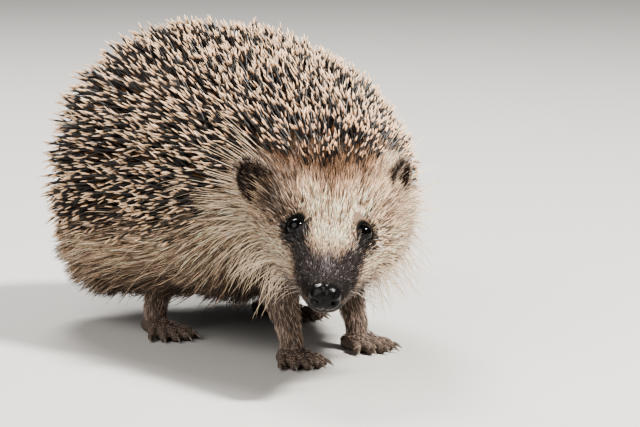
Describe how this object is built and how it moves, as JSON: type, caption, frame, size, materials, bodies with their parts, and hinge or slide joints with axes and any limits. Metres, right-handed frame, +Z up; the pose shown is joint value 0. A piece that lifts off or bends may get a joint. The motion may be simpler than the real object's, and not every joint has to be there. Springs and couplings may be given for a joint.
{
  "type": "hedgehog",
  "caption": "Life-size European hedgehog standing on all fours, head turned to its right, with a quill mantle, pointed snout, round ears and clawed paws.",
  "frame": {"origin": "on the floor under the centre of the animal's bounding box", "axes": "+Z up, +Y from the head towards the rump, +X towards the animal's left side"},
  "size_m": [0.1226, 0.23, 0.118],
  "materials": {
    "quills": "banded cream and dark brown keratin quills, satin",
    "face_fur": "short dense fur, pale forehead and dark brown round the eyes",
    "flank_fur": "coarse long hair, pale brown over darker roots",
    "bare_skin": "dark leathery skin with thin short hair",
    "nose_leather": "wet black, finely pebbled",
    "eye_black": "wet glossy black"
  },
  "bodies": {
    "root": {"ear_left": "bare_skin", "ear_right": "bare_skin", "eye_left": "eye_black", "eye_right": "eye_black", "foreleg_left": "bare_skin", "foreleg_right": "bare_skin", "forepaw_left": "bare_skin", "forepaw_right": "bare_skin", "head": "face_fur", "hindleg_left": "bare_skin", "hindleg_right": "bare_skin", "hindpaw_left": "bare_skin", "hindpaw_right": "bare_skin", "lower_jaw": "face_fur", "neck": "flank_fur", "nose": "nose_leather", "quill_mantle": "quills", "tail": "flank_fur", "trunk": "flank_fur"}
  },
  "joints": []
}
